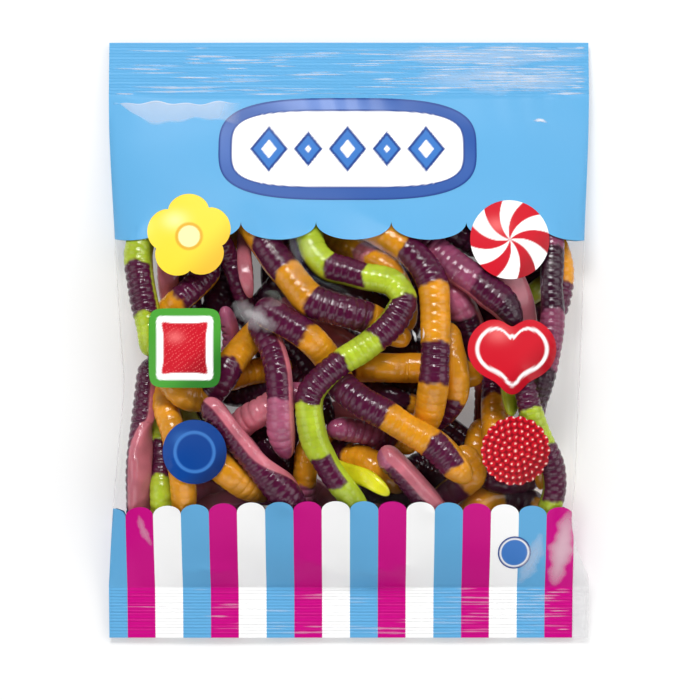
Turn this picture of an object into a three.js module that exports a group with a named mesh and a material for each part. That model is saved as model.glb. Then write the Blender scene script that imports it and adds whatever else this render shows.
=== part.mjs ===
// A sealed clear pillow bag filled with gummy snakes, lying on its back with its printed front up.
// Units are millimetres. +Z is up, +Y runs towards the bag's top seal and +X to the right of its front.
// The origin is on the resting surface, below the middle of the bag.
// The bag is one closed solid: a flat crimped seal at each end, and between them the filled pillow,
// whose flat back carries it and whose front film stands up over the snakes that press against it.
import * as THREE from "three";

// Driving dimensions of the bag.
const BAG_WIDTH = 215;
const BAG_LENGTH = 267;
const TOP_SEAL = 24.5;
const BOTTOM_SEAL = 23.5;
const SEAL_THICKNESS = 1.2;
const CRIMP_PITCH = 1.4;
const CRIMP_DEPTH = 0.3;

// Places along the bag, measured from its middle. The snakes show between the two printed fields.
const TOP_END = BAG_LENGTH / 2;
const BOTTOM_END = -BAG_LENGTH / 2;
const TOP_SEAL_START = TOP_END - TOP_SEAL;
const BOTTOM_SEAL_START = BOTTOM_END + BOTTOM_SEAL;
const WINDOW_TOP = 56;
const WINDOW_BOTTOM = -78;

// How far each side edge is drawn in by the filling, as [y, inset] from the bottom seal to the top seal.
const LEFT_INSET = [
  [-110, 0], [-75, 2.5], [-44, 5.4], [-20, 7.4], [-4, 6.4], [46, 3.1], [90, 0.4], [109, 0],
];
const RIGHT_INSET = [
  [-110, 0], [-105, 0.6], [-92, 6.1], [-80, 8.2], [-67, 7], [-36, 5.8], [0, 4.2], [45, 2.5], [90, 0.4], [109, 0],
];

// Height of the front film above the back film along the middle, as [y, thickness].
const THICKNESS = [
  [-110, 1.2], [-104, 12], [-92, 27], [-67, 41], [-22, 47], [9, 45], [46, 36], [70, 26], [92, 13], [109, 1.2],
];

// Height of the side edges and of the seals' middle plane above the resting surface, as [y, height].
const EDGE_HEIGHT = [
  [-133.5, 3], [-110, 7], [-92, 13], [-60, 19], [-15, 22], [20, 20], [60, 13], [92, 8], [109, 7], [133.5, 3],
];

// Height of the back film's lowest line, as [y, height]. What would lie below 0 is pressed flat.
const BACK_HEIGHT = [
  [-110, 6.4], [-102, 2], [-92, -1], [-70, -2.5], [60, -2.5], [84, -1], [98, 2.2], [109, 6.4],
];

// The films swell between the side edges as (1 - u^power)^root, u being 1 at an edge and 0 in the middle.
// A root near 1 is a flat lens, as next to the seals, and near 0.5 a round side, as where the bag is full.
const FRONT_POWER = 2.5;
const BACK_POWER = 3.4;
const SECTION_ROOT = [
  [-110, 1], [-85, 0.7], [-55, 0.54], [25, 0.54], [70, 0.72], [109, 1],
];

// The snakes that stand out under the front film, as lines of [x, y] points. The film touches those on
// top and sinks by SNAKE_RELIEF beside them, and the snakes below those stand LOWER_SHARE as high.
const SNAKE_WIDTH = 15;
const SNAKE_RELIEF = 4.2;
const LOWER_SHARE = 0.62;
const TOP_SNAKES = {
  green_hook: [[-20, 50], [-14, 38], [-2, 28], [25, 26], [27, 18], [14, 1], [-13, -20], [-18, -40], [-2, -65]],
  upper_orange: [[-41, 48], [-27, 27], [-2, 13], [16, 4]],
  middle_orange: [[12, 48], [33, 32], [39, 2], [39, -24], [34, -34]],
  right_curl: [[46, -2], [50, -22], [36, -38]],
  left_green: [[-75, 47], [-92, 44], [-91, 22], [-87, 5], [-88, -12]],
  left_orange: [[-85, 2], [-84, -27], [-79, -58], [-74, -74]],
  pink_upright: [[-38, -1], [-31, -24], [-30, -58]],
  lower_diagonal: [[-61, -30], [-42, -49], [-23, -68]],
};
const LOWER_SNAKES = {
  left_pink: [[-89, -11], [-94, -49], [-95, -71]],
  purple_slant: [[-57, 46], [-50, 27], [-41, 7]],
  orange_stub: [[-35, 8], [-55, -13], [-66, -28]],
  long_diagonal: [[-39, 18], [-17, 0], [5, -26], [27, -38], [50, -60], [54, -67]],
  lower_purple: [[-8, -40], [15, -45]],
  lower_pink: [[15, -49], [37, -68]],
  upper_right_diagonal: [[35, 46], [60, 25], [70, 16]],
  right_pink: [[43, 25], [59, 0]],
  right_upright: [[91, 47], [90, 18], [86, -34]],
  right_green: [[78, -16], [84, -38], [93, -58], [90, -76]],
  right_hook: [[57, -45], [68, -65], [85, -60]],
  bottom_purple: [[43, -74], [56, -63]],
};

// Mesh steps. Rows of points are close in the window and further apart under the printed fields.
const WINDOW_ROW_STEP = 3.4;
const PRINT_ROW_STEP = 6.5;
const FRONT_COLUMNS = 60;
const BACK_COLUMNS = 18;
const SEAL_COLUMNS = 4;
const POINTS_PER_SPAN = 6;

// A smooth curve through [place, value] pairs, flat beyond its ends.
function curveThrough(pairs) {
  const last = pairs.length - 1;
  const slope = (i) => {
    const before = pairs[Math.max(i - 1, 0)];
    const after = pairs[Math.min(i + 1, last)];
    return (after[1] - before[1]) / (after[0] - before[0]);
  };
  return (place) => {
    if (place <= pairs[0][0]) return pairs[0][1];
    if (place >= pairs[last][0]) return pairs[last][1];
    const i = pairs.findIndex((pair) => pair[0] > place) - 1;
    const span = pairs[i + 1][0] - pairs[i][0];
    const t = (place - pairs[i][0]) / span;
    const rise = t * t * (3 - 2 * t);
    const bend = span * t * (1 - t) * ((1 - t) * slope(i) - t * slope(i + 1));
    return THREE.MathUtils.lerp(pairs[i][1], pairs[i + 1][1], rise) + bend;
  };
}

const leftInset = curveThrough(LEFT_INSET);
const rightInset = curveThrough(RIGHT_INSET);
const thickness = curveThrough(THICKNESS);
const edgeHeight = curveThrough(EDGE_HEIGHT);
const backHeight = curveThrough(BACK_HEIGHT);
const sectionRoot = curveThrough(SECTION_ROOT);

// A snake's route as short straight runs on a smooth line through its points.
function smoothLine(route) {
  const points = route.map(([x, y]) => new THREE.Vector2(x, y));
  return new THREE.SplineCurve(points).getPoints(route.length * POINTS_PER_SPAN);
}

const topLines = Object.values(TOP_SNAKES).map(smoothLine);
const lowerLines = Object.values(LOWER_SNAKES).map(smoothLine);

function distanceToLine(x, y, line) {
  let nearest = Infinity;
  for (let i = 1; i < line.length; i++) {
    const [a, b] = [line[i - 1], line[i]];
    const [dx, dy] = [b.x - a.x, b.y - a.y];
    const along = ((x - a.x) * dx + (y - a.y) * dy) / (dx * dx + dy * dy);
    const t = THREE.MathUtils.clamp(along, 0, 1);
    nearest = Math.min(nearest, Math.hypot(x - a.x - t * dx, y - a.y - t * dy));
  }
  return nearest;
}

// How high a group of snakes stands at a place: 1 on a snake's middle line, 0 from half its width away.
function crest(x, y, lines) {
  const nearest = Math.min(...lines.map((line) => distanceToLine(x, y, line)));
  return (1 + Math.cos(Math.PI * Math.min(nearest / (SNAKE_WIDTH / 2), 1))) / 2;
}

// How far the front film sinks between the snakes. It dies out at the side edges and under the print.
function dipBetweenSnakes(x, y, u) {
  const standing = Math.max(crest(x, y, topLines), LOWER_SHARE * crest(x, y, lowerLines));
  const acrossFade = 1 - Math.pow(Math.abs(u), 6);
  const fromPrint = Math.min(WINDOW_TOP + SNAKE_WIDTH - y, y - WINDOW_BOTTOM + SNAKE_WIDTH) / SNAKE_WIDTH;
  const alongFade = THREE.MathUtils.smoothstep(fromPrint, 0, 1);
  return SNAKE_RELIEF * (1 - standing) * acrossFade * alongFade;
}

function isInSeal(y) {
  return y < BOTTOM_SEAL_START || y > TOP_SEAL_START;
}

// The seal's crimps: ridges across the bag, one each CRIMP_PITCH, on both faces.
function crimp(y) {
  const fromSealStart = y > 0 ? y - TOP_SEAL_START : BOTTOM_SEAL_START - y;
  const isOuterEnd = y === TOP_END || y === BOTTOM_END;
  const isRidge = Math.round(fromSealStart / (CRIMP_PITCH / 2)) % 2 === 1;
  return isRidge && !isOuterEnd ? CRIMP_DEPTH : 0;
}

// A point of the front film (side 1) or the back film (side -1), at u across the bag and y along it.
function filmPoint(side, u, y) {
  const left = Math.max(leftInset(y), 0) - BAG_WIDTH / 2;
  const right = BAG_WIDTH / 2 - Math.max(rightInset(y), 0);
  const x = THREE.MathUtils.lerp(left, right, (u + 1) / 2);
  const skin = SEAL_THICKNESS / 2;
  const edge = edgeHeight(y) + side * skin;
  if (isInSeal(y)) return new THREE.Vector3(x, y, edge + side * crimp(y));
  if (side < 0) {
    const swell = Math.pow(1 - Math.pow(Math.abs(u), BACK_POWER), sectionRoot(y));
    return new THREE.Vector3(x, y, Math.max(edge + (backHeight(y) - edge) * swell, 0));
  }
  const swell = Math.pow(1 - Math.pow(Math.abs(u), FRONT_POWER), sectionRoot(y));
  const top = Math.max(backHeight(y), 0) + thickness(y);
  const smooth = edge + (top - edge) * swell;
  return new THREE.Vector3(x, y, Math.max(smooth - dipBetweenSnakes(x, y, u), edge));
}

// Evenly spaced places from one to another, without the first, about a step apart.
function placesBetween(from, to, step) {
  const count = Math.round(Math.abs(to - from) / step);
  return Array.from({ length: count }, (_, i) => THREE.MathUtils.lerp(from, to, (i + 1) / count));
}

// The places along the bag of every row of points, from the bottom seal's end to the top seal's.
function rowPlaces() {
  const sealPlaces = (start, end) => {
    const length = Math.abs(end - start);
    const steps = Math.floor(length / (CRIMP_PITCH / 2)) - 1;
    const last = start + (Math.sign(end - start) * steps * CRIMP_PITCH) / 2;
    return [...placesBetween(start, last, CRIMP_PITCH / 2), end];
  };
  return [
    ...sealPlaces(BOTTOM_SEAL_START, BOTTOM_END).reverse(),
    BOTTOM_SEAL_START,
    ...placesBetween(BOTTOM_SEAL_START, WINDOW_BOTTOM, PRINT_ROW_STEP),
    ...placesBetween(WINDOW_BOTTOM, WINDOW_TOP, WINDOW_ROW_STEP),
    ...placesBetween(WINDOW_TOP, TOP_SEAL_START, PRINT_ROW_STEP),
    ...sealPlaces(TOP_SEAL_START, TOP_END),
  ];
}

// One row of points across a film, from its left edge to its right edge.
function rowOfPoints(side, y) {
  const filmColumns = side > 0 ? FRONT_COLUMNS : BACK_COLUMNS;
  const columns = isInSeal(y) ? SEAL_COLUMNS : filmColumns;
  return Array.from({ length: columns + 1 }, (_, i) => filmPoint(side, (2 * i) / columns - 1, y));
}

// Whether the strip between two rows goes on along its low row. Where both rows have a point next at the
// same place, it takes the shorter diagonal, so that a ridge that runs aslant stays smooth.
function isLowRowNext(low, high, i, j) {
  const ahead = (i + 1) / (low.length - 1) - (j + 1) / (high.length - 1);
  if (Math.abs(ahead) > 1e-9) return ahead < 0;
  return low[i + 1].distanceTo(high[j]) <= low[i].distanceTo(high[j + 1]);
}

// Fills the strip between two rows that start and end together, whatever their numbers of points.
function stitch(triangles, low, high, side) {
  let i = 0;
  let j = 0;
  while (i < low.length - 1 || j < high.length - 1) {
    const isLowNext = isLowRowNext(low, high, i, j);
    const corners = isLowNext ? [low[i], low[i + 1], high[j]] : [low[i], high[j + 1], high[j]];
    if (side < 0) corners.reverse();
    triangles.push(...corners);
    if (isLowNext) i++;
    else j++;
  }
}

// The closed surface of the whole bag.
function bagGeometry() {
  const triangles = [];
  const places = rowPlaces();
  const front = places.map((y) => rowOfPoints(1, y));
  const back = places.map((y) => rowOfPoints(-1, y));
  for (let i = 1; i < places.length; i++) {
    stitch(triangles, front[i - 1], front[i], 1);
    stitch(triangles, back[i - 1], back[i], -1);
    // The side edges: a narrow strip from the back film to the front film, on the left and the right.
    const [leftLow, leftHigh] = [[back[i - 1][0], back[i][0]], [front[i - 1][0], front[i][0]]];
    const [rightLow, rightHigh] = [[back[i - 1].at(-1), back[i].at(-1)], [front[i - 1].at(-1), front[i].at(-1)]];
    stitch(triangles, leftLow, leftHigh, -1);
    stitch(triangles, rightLow, rightHigh, 1);
  }
  // The seals' outer ends.
  stitch(triangles, back[0], front[0], 1);
  stitch(triangles, back.at(-1), front.at(-1), -1);
  return new THREE.BufferGeometry().setFromPoints(triangles);
}

const film = new THREE.MeshStandardMaterial({ color: 0x76bcec, roughness: 0.25, metalness: 0 });

const bag = new THREE.Mesh(bagGeometry(), film);
bag.name = "bag";
bag.geometry.computeVertexNormals();

const group = new THREE.Group();
group.add(bag);

export default group;
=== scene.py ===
import math
from typing import NamedTuple

import bpy
import numpy as np
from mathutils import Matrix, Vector


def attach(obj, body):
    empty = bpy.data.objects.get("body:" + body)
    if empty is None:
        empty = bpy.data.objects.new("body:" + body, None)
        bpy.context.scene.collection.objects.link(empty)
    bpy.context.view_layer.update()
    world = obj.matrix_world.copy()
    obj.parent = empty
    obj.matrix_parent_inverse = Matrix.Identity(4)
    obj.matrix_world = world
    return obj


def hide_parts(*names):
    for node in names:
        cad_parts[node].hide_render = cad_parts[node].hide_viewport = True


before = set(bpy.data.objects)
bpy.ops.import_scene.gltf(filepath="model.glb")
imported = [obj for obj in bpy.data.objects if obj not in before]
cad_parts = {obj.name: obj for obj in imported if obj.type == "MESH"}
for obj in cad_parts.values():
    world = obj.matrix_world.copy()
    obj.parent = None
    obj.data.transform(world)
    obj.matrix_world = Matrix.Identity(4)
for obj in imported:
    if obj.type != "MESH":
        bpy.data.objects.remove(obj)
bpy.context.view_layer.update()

# A sealed clear pillow bag of gummy snakes, lying on its back. Sizes in this script are millimetres
# and become metres where a mesh is made. Up to the films it follows the CAD solid's own sizes.
MM = 0.001
SEED = 7

# The camera looks straight down at the bag, as the photo looks straight at its front.
PHOTO_SCALE = 0.447
LENS = 200.0
SENSOR = 36.0
PHOTO_SIDE = 700
EDGE_PLANE = 10.0
CAMERA_AIM = (0.5, -4.4)
DISTANCE = LENS / SENSOR * PHOTO_SIDE * PHOTO_SCALE


def make_camera():
    """A long lens at the distance where a photo pixel is PHOTO_SCALE at the bag's edges."""
    data = bpy.data.cameras.new("camera")
    data.lens = LENS
    data.sensor_width = SENSOR
    data.clip_end = 10
    camera = bpy.data.objects.new("camera", data)
    camera.location = (CAMERA_AIM[0] * MM, CAMERA_AIM[1] * MM, (EDGE_PLANE + DISTANCE) * MM)
    bpy.context.scene.collection.objects.link(camera)
    bpy.context.scene.camera = camera


make_camera()


def seen_at(x, y, z):
    """The place at height z that the camera sees where the plane of the bag's edges has (x, y)."""
    share = 1 - (z - EDGE_PLANE) / DISTANCE
    return CAMERA_AIM[0] + (x - CAMERA_AIM[0]) * share, CAMERA_AIM[1] + (y - CAMERA_AIM[1]) * share


# The bag's own sizes, as in the CAD solid.
BAG_WIDTH = 215.0
BAG_LENGTH = 267.0
TOP_SEAL = 24.5
BOTTOM_SEAL = 23.5
TOP_END = BAG_LENGTH / 2
BOTTOM_END = -BAG_LENGTH / 2
TOP_SEAL_START = TOP_END - TOP_SEAL
BOTTOM_SEAL_START = BOTTOM_END + BOTTOM_SEAL
WINDOW_TOP = 56.0
WINDOW_BOTTOM = -78.0
LEFT_INSET = [(-110, 0), (-75, 2.5), (-44, 5.4), (-20, 7.4), (-4, 6.4), (46, 3.1), (90, 0.4), (109, 0)]
RIGHT_INSET = [(-110, 0), (-105, 0.6), (-92, 6.1), (-80, 8.2), (-67, 7), (-36, 5.8), (0, 4.2), (45, 2.5),
               (90, 0.4), (109, 0)]
THICKNESS = [(-110, 1.2), (-104, 12), (-92, 27), (-67, 41), (-22, 47), (9, 45), (46, 36), (70, 26),
             (92, 13), (109, 1.2)]
EDGE_HEIGHT = [(-133.5, 3), (-110, 7), (-92, 13), (-60, 19), (-15, 22), (20, 20), (60, 13), (92, 8),
               (109, 7), (133.5, 3)]
BACK_HEIGHT = [(-110, 6.4), (-102, 2), (-92, -1), (-70, -2.5), (60, -2.5), (84, -1), (98, 2.2), (109, 6.4)]
SECTION_ROOT = [(-110, 1), (-85, 0.7), (-55, 0.54), (25, 0.54), (70, 0.72), (109, 1)]
FRONT_POWER = 2.5
BACK_POWER = 3.4
FILM_GAP = 0.1
CRIMP_PITCH = 1.4
CRIMP_DEPTH = 0.28


def curve_through(pairs):
    """A smooth curve through (place, value) pairs, flat beyond its ends."""
    places, values = np.array(pairs, float).T
    last = len(pairs) - 1
    before = np.maximum(np.arange(last + 1) - 1, 0)
    after = np.minimum(np.arange(last + 1) + 1, last)
    slopes = (values[after] - values[before]) / (places[after] - places[before])

    def curve(place):
        place = np.clip(place, places[0], places[-1])
        i = np.clip(np.searchsorted(places, place, side="right") - 1, 0, last - 1)
        span = places[i + 1] - places[i]
        t = (place - places[i]) / span
        rise = t * t * (3 - 2 * t)
        bend = span * t * (1 - t) * ((1 - t) * slopes[i] - t * slopes[i + 1])
        return values[i] * (1 - rise) + values[i + 1] * rise + bend

    return curve


left_inset = curve_through(LEFT_INSET)
right_inset = curve_through(RIGHT_INSET)
thickness = curve_through(THICKNESS)
edge_height = curve_through(EDGE_HEIGHT)
back_height = curve_through(BACK_HEIGHT)
section_root = curve_through(SECTION_ROOT)


def left_edge(y):
    return np.maximum(left_inset(y), 0) - BAG_WIDTH / 2


def right_edge(y):
    return BAG_WIDTH / 2 - np.maximum(right_inset(y), 0)


def place_across(u, y):
    """The x of a place at u across the bag: -1 at its left edge and 1 at its right edge."""
    return left_edge(y) + (right_edge(y) - left_edge(y)) * (u + 1) / 2


def share_across(x, y):
    return np.clip((x - left_edge(y)) / (right_edge(y) - left_edge(y)) * 2 - 1, -1, 1)


def smooth_step(value, low, high):
    t = np.clip((value - low) / (high - low), 0, 1)
    return t * t * (3 - 2 * t)


def ceiling(x, y):
    """Height of the smooth front of the full bag."""
    swell = (1 - np.abs(share_across(x, y)) ** FRONT_POWER) ** section_root(y)
    edge = edge_height(y)
    return edge + (np.maximum(back_height(y), 0) + thickness(y) - edge) * swell


def bag_floor(x, y):
    """Height of the smooth back of the full bag."""
    swell = (1 - np.abs(share_across(x, y)) ** BACK_POWER) ** section_root(y)
    edge = edge_height(y)
    return np.maximum(edge + (back_height(y) - edge) * swell, 0)


# The snakes. A snake is a D in section: a flat base in its light colour, and a ribbed and beaded back,
# which has bands of purple over the light colour. Colours are linear red, green and blue.
def colour(red, green, blue):
    """A colour given as 0 to 255 screen values, made linear."""
    return tuple(((c / 255 + 0.055) / 1.055) ** 2.4 if c > 10 else c / 3294.6 for c in (red, green, blue))


TINTS = {
    "p": colour(80, 18, 52),
    "m": colour(140, 66, 98),
    "o": colour(217, 146, 28),
    "g": colour(176, 196, 50),
    "k": colour(196, 112, 126),
    "y": colour(226, 222, 34),
    "r": colour(116, 48, 46),
    "d": colour(54, 16, 38),
    "w": colour(172, 92, 122),
}
PITCH = 3.4
RIB_DEPTH = 0.78
SMOOTH_TINTS = "ogyr"
SMOOTHER = 0.45
BEADS_ACROSS = 7
BAND_BLUR = 0.6
BAND_BULGE = 2.2
HEAD_LENGTH = 7.0
TAIL_LENGTH = 15.0


class Snake(NamedTuple):
    """A snake: the tint of its base, its roll in degrees, its width, its bands and its route.

    At roll 0 the ribbed back faces up. A positive roll leans it to the right of the route, and twist is
    what the roll gains over a part of the route's length. The route is in the photo's plane, and bands
    has a letter for each of its points: the tint that starts there."""
    base: str
    roll: float
    width: float
    bands: str
    route: list
    twist: float = 0.0
    over: tuple = (0.0, 1.0)


# The snakes that show through the front film, from the one nearest the film to the deepest.
FRONT_SNAKES = [
    Snake("g", -22, 11.9, "gggppgggpppggpppgggppggg", [(-20, 57), (-17.5, 46), (-15, 39), (-9.5, 33.5),
          (-1, 31), (7, 28.6), (14, 27.5), (20, 25.3), (24.6, 18.6), (22, 11.5), (18, 6), (11.5, 0.2),
          (4.5, -5), (-2.5, -9.2), (-11, -16), (-16.5, -22.5), (-18, -28.5), (-17.3, -37), (-15, -46),
          (-12, -51.5), (-8, -58.5), (-4, -64), (2, -72), (8, -84)], 66, (0.2, 0.9)),
    Snake("o", -6, 13.4, "ppooopppooppooo", [(-42, 15.5), (-30, 9), (-19.5, 2.5), (-12, -5), (-7.5, -12),
          (-3.5, -20), (4.5, -26.7), (12, -31), (17, -33.7), (25, -39), (36, -45.3), (42, -50.5),
          (47, -56), (51, -60), (54, -63)], 46, (0.72, 0.95)),
    Snake("o", -26, 13.4, "oooopppoooppooop", [(-4, 58), (7, 52.5), (15, 48), (21, 44.5), (25.5, 41.3),
          (31, 36), (35.3, 30), (37.8, 24), (38.6, 14), (38.8, 4), (38.8, -1.5), (38.5, -10), (38, -18.5),
          (37, -26), (35.5, -34), (32, -44)], 26, (0.1, 0.5)),
    Snake("o", -14, 14.2, "ooppooppooo", [(-47, 60), (-42, 51), (-38, 44.5), (-32.9, 37), (-28, 30.8),
          (-22.6, 23.8), (-16.8, 17.8), (-6, 14), (8.3, 10), (17, 5.5), (27, -1)], 16),
    Snake("o", 6, 11, "oooopppp", [(43.5, 8), (45.5, -2), (48, -11), (48.8, -19), (48, -25.5), (44, -32),
          (37.5, -37), (29, -42)]),
    Snake("g", 8, 12, "ggggppggp", [(-76, 60), (-85, 53), (-91.5, 47), (-94, 40), (-94, 33.5),
          (-92.4, 22), (-90.2, 11), (-89, 3), (-90, -7)]),
    Snake("k", 90, 14, "ppppppp", [(-65, -27), (-60, -31), (-52, -41), (-45, -49.5), (-37, -59.5),
          (-29, -68), (-20, -77)], -90, (0.45, 0.9)),
    Snake("k", 44, 12, "ppppwwmm", [(-42, 12), (-38, 4), (-34, -5), (-31.6, -15), (-30.8, -26),
          (-30.6, -38), (-29.6, -46), (-27.5, -53)]),
    Snake("o", -8, 12.5, "oooppoooo", [(-34, 9), (-41, 4), (-47.5, -3), (-53.5, -11), (-57, -17.5),
          (-63, -24.5), (-72, -25.5), (-80, -19), (-86, -12)]),
    Snake("k", 176, 6.6, "kkkkk", [(-46, 60), (-47, 48), (-47, 38), (-46, 28), (-44.3, 19)]),
    Snake("p", 0, 8.8, "ppppppp", [(-60, 50), (-56, 42), (-52, 32), (-48.5, 22), (-45, 13), (-40, 4),
          (-36, -5)]),
    Snake("d", 0, 9.5, "dddddd", [(-45, 11), (-39.5, 17.5), (-34, 24), (-28.5, 31), (-24, 40), (-20, 52)]),
    Snake("o", 4, 11.5, "pppoopppoooooo", [(-60, 36), (-66, 28), (-71, 22.5), (-76, 18), (-81, 13),
          (-84, 8), (-85.5, 0), (-84.5, -12), (-83.3, -21.5), (-82, -31), (-79, -41), (-75.5, -55),
          (-74, -66), (-73.5, -82)]),
    Snake("k", 50, 11.5, "pppppp", [(-88.5, -8), (-90.5, -20), (-92, -36), (-93.6, -52), (-94, -72),
          (-93, -90)], 74, (0.28, 0.55)),
    Snake("k", 152, 9.5, "ppkkkk", [(-85, 54), (-82.6, 44), (-81.6, 36), (-81, 25), (-79.5, 14), (-77, 2)]),
    Snake("k", -20, 13.6, "ppmmmppdd", [(26, 56), (33, 46), (38, 41), (45, 35), (51, 30.5), (57, 26.5),
          (63, 21.5), (69, 16.5), (76, 6)]),
    Snake("g", 8, 10.5, "pppggpppggg", [(74, -4), (77, -15), (79.3, -24), (80.8, -30.5), (83.6, -39),
          (87, -47), (90.8, -56), (92, -64), (91, -71), (88, -80), (84, -90)]),
    Snake("k", 12, 10.5, "mmddmmddd", [(89, 60), (90.5, 49), (91, 40), (90.5, 24), (91, 12.5), (90, 0),
          (87.5, -13), (85, -24), (82, -36)]),
    Snake("o", -16, 10.5, "oooppp", [(84, 57), (92, 45), (95.2, 35), (95.3, 25), (92.8, 14), (88, 4)]),
    Snake("k", 175, 13, "kkkkk", [(60, 38), (69, 31), (74, 23), (77, 12), (80, -6)]),
    Snake("g", 0, 8.5, "ggggggg", [(90, 28), (83, 21), (76, 15.5), (72.5, 4), (72, -10), (72.6, -22),
          (73, -34)]),
    Snake("k", 98, 13.5, "wppppp", [(14.5, -48), (19, -53), (25, -59), (32, -67), (39, -75), (46, -84)]),
    Snake("o", -8, 11.5, "oooppp", [(49, -48), (54, -55), (56, -60.5), (51.5, -65), (44, -70), (37, -78)]),
    Snake("p", 5, 10.5, "mmmpoo", [(-10, -40), (-2, -40), (6, -41.5), (13, -44), (20, -46), (30, -50)]),
    Snake("k", -50, 13, "kkkwm", [(-52, -42), (-46, -36), (-40, -32.5), (-30, -27), (-18, -21)]),
    Snake("o", 0, 12, "oooop", [(-60, -19), (-52, -16.5), (-44, -14.3), (-36, -13), (-26, -11)]),
    Snake("o", 76, 15.5, "pooooo", [(-2, -10.5), (7, -11.2), (18, -11.8), (31, -12), (44, -13), (60, -17)]),
    Snake("k", 36, 14, "wwwddd", [(38, 33), (43, 26.5), (47.5, 19.5), (51.5, 12), (54.5, 3), (57, -10)]),
    Snake("o", 0, 12, "ppoopp", [(65, -2), (66, -15), (66, -27.5), (66, -37), (66, -46), (67, -56)]),
    Snake("o", 0, 8, "ooo", [(86, -48), (86.4, -57), (86, -67)]),
    Snake("o", 12, 11, "oooppppoo", [(63, -36), (58.5, -44), (57.5, -52), (60, -58.5), (65, -62.5),
          (72, -64), (79, -63), (84, -60), (87, -52)]),
    Snake("o", 5, 11, "oooww", [(-16, -42), (-19, -52), (-19.5, -58), (-20, -64), (-21, -78)]),
    Snake("g", 0, 10.5, "ggppggg", [(-83, -26), (-85, -36), (-85, -47.5), (-84.5, -56), (-84, -63),
          (-83.5, -76), (-82, -88)]),
    Snake("d", -20, 9, "dddooo", [(2, -18), (10, -21.5), (18, -24), (26, -28), (34, -31), (46, -36)]),
    Snake("o", 30, 13.5, "ooooo", [(-66, -48), (-59, -55), (-53, -60), (-46, -65), (-36, -71)]),
    Snake("w", 150, 10, "mmmmm", [(-70, -80), (-62, -75), (-52, -72), (-42, -70), (-34, -73)]),
    Snake("k", 10, 10.5, "mwww", [(-78, -64), (-70, -67), (-62, -69), (-54, -75)]),
    Snake("k", 24, 13, "mdddd", [(-50, -38), (-42, -43), (-34, -49), (-28, -57), (-24, -70)]),
    Snake("d", 15, 10.5, "ddddd", [(38, -35), (46, -40.5), (53, -45.5), (60, -52), (70, -56)]),
    Snake("k", -128, 12, "pppppp", [(-34, 19), (-26, 14.5), (-17, 9.5), (-8, 4), (2, -2), (13, -6)]),
    Snake("o", 0, 11.5, "oookoooo", [(-22, 57), (-10, 48.5), (-2, 43), (6, 39.5), (11, 36), (18, 31.5),
          (24, 20), (27, 4)]),
    Snake("y", 180, 8, "yyyyy", [(-12, -55), (-4, -58.5), (4, -60.5), (10, -63), (18, -69)]),
    Snake("p", 10, 12, "dddppp", [(30, 60), (42, 53), (50, 47), (58, 43), (70, 40), (82, 34)]),
    Snake("o", 12, 12, "oooppp", [(-36, 60), (-46, 50), (-56, 44.5), (-63, 39), (-72, 30), (-78, 18)]),
    Snake("p", 0, 10.5, "pppdd", [(-40, -2), (-30, -8), (-22, -16), (-14, -26), (-8, -38)]),
    Snake("o", -35, 12.5, "opoooo", [(-14, -44), (-6, -49), (0, -52), (8, -54.5), (16, -60), (24, -68)]),
    Snake("o", 0, 12.5, "oooddoo", [(50, -84), (57, -75), (63, -71), (69, -70.5), (78, -72), (84, -75),
          (88, -84)]),
    Snake("k", 30, 10, "wwww", [(-30, -60), (-22, -65), (-14, -69), (-4, -76)]),
    Snake("w", 110, 8, "wwwwp", [(-56.5, 15), (-54.5, 9), (-53, 2), (-55, -8), (-64, -22)]),
    Snake("r", 150, 6, "rrrrr", [(58.5, -8), (60, -20), (60, -32), (59, -44), (55, -56)]),
    Snake("p", 0, 11, "ddddd", [(84, 52), (85, 40), (84, 26), (84, 12), (82, -2)]),
    Snake("g", 0, 9, "gggg", [(-70, -16), (-75, -28), (-70, -40), (-62, -50)]),
    Snake("d", 0, 11, "dddd", [(-70, -30), (-62, -37), (-57, -48), (-60, -60)]),
    Snake("k", 160, 9, "kkkk", [(-18, -38), (-9, -33), (2, -33), (14, -38)]),
    Snake("d", 20, 12, "ddddd", [(54, 14), (60, 4), (64, -8), (70, -20), (72, -34)]),
    Snake("d", 0, 12, "ddddd", [(-70, 50), (-72, 38), (-74, 26), (-72, 12), (-68, 0)]),
    Snake("d", -10, 12, "dddd", [(20, -66), (30, -58), (40, -54), (52, -52)]),
    Snake("d", -30, 11, "dddddd", [(-34, 57), (-28, 46), (-20, 33), (-8, 22), (8, 18), (20, 16)]),
    Snake("d", 0, 11, "dddddd", [(2, 46), (12, 40), (20, 34), (26, 26), (28, 12), (26, -2)]),
    Snake("d", 0, 11, "ddddd", [(-66, 20), (-56, 18), (-48, 12), (-40, 2), (-38, -12)]),
]

# Dark snakes under those, where light would otherwise show through the pile.
HIDDEN_SNAKES = [
    Snake("d", 0, 13, "dddd", [(2, 0), (12, -3), (24, -4.5), (40, -6)]),
    Snake("d", 0, 13, "dddd", [(-36, 10), (-28, 1), (-20, -8), (-12, -20)]),
    Snake("d", 0, 12, "ddd", [(-24, -22), (-24, -36), (-22, -54)]),
    Snake("d", 0, 13, "ddd", [(26, -55), (38, -61), (50, -67)]),
    Snake("d", 0, 13, "dddd", [(2, -65), (14, -69), (26, -71), (38, -70)]),
    Snake("d", 0, 12, "ddd", [(14, -18), (26, -22), (38, -24)]),
    Snake("d", 0, 12, "dddd", [(-60, 40), (-57, 30), (-58, 20), (-66, 8)]),
    Snake("d", 0, 12, "dddd", [(-30, 44), (-34, 34), (-33, 22), (-24, 10)]),
    Snake("d", 0, 12, "dddd", [(-60, -22), (-48, -24), (-36, -20), (-26, -14)]),
    Snake("d", 0, 12, "dddd", [(48, 30), (58, 20), (64, 8), (64, -6)]),
    Snake("d", 0, 12, "dddd", [(-70, -42), (-66, -52), (-62, -62), (-52, -70)]),
]

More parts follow.
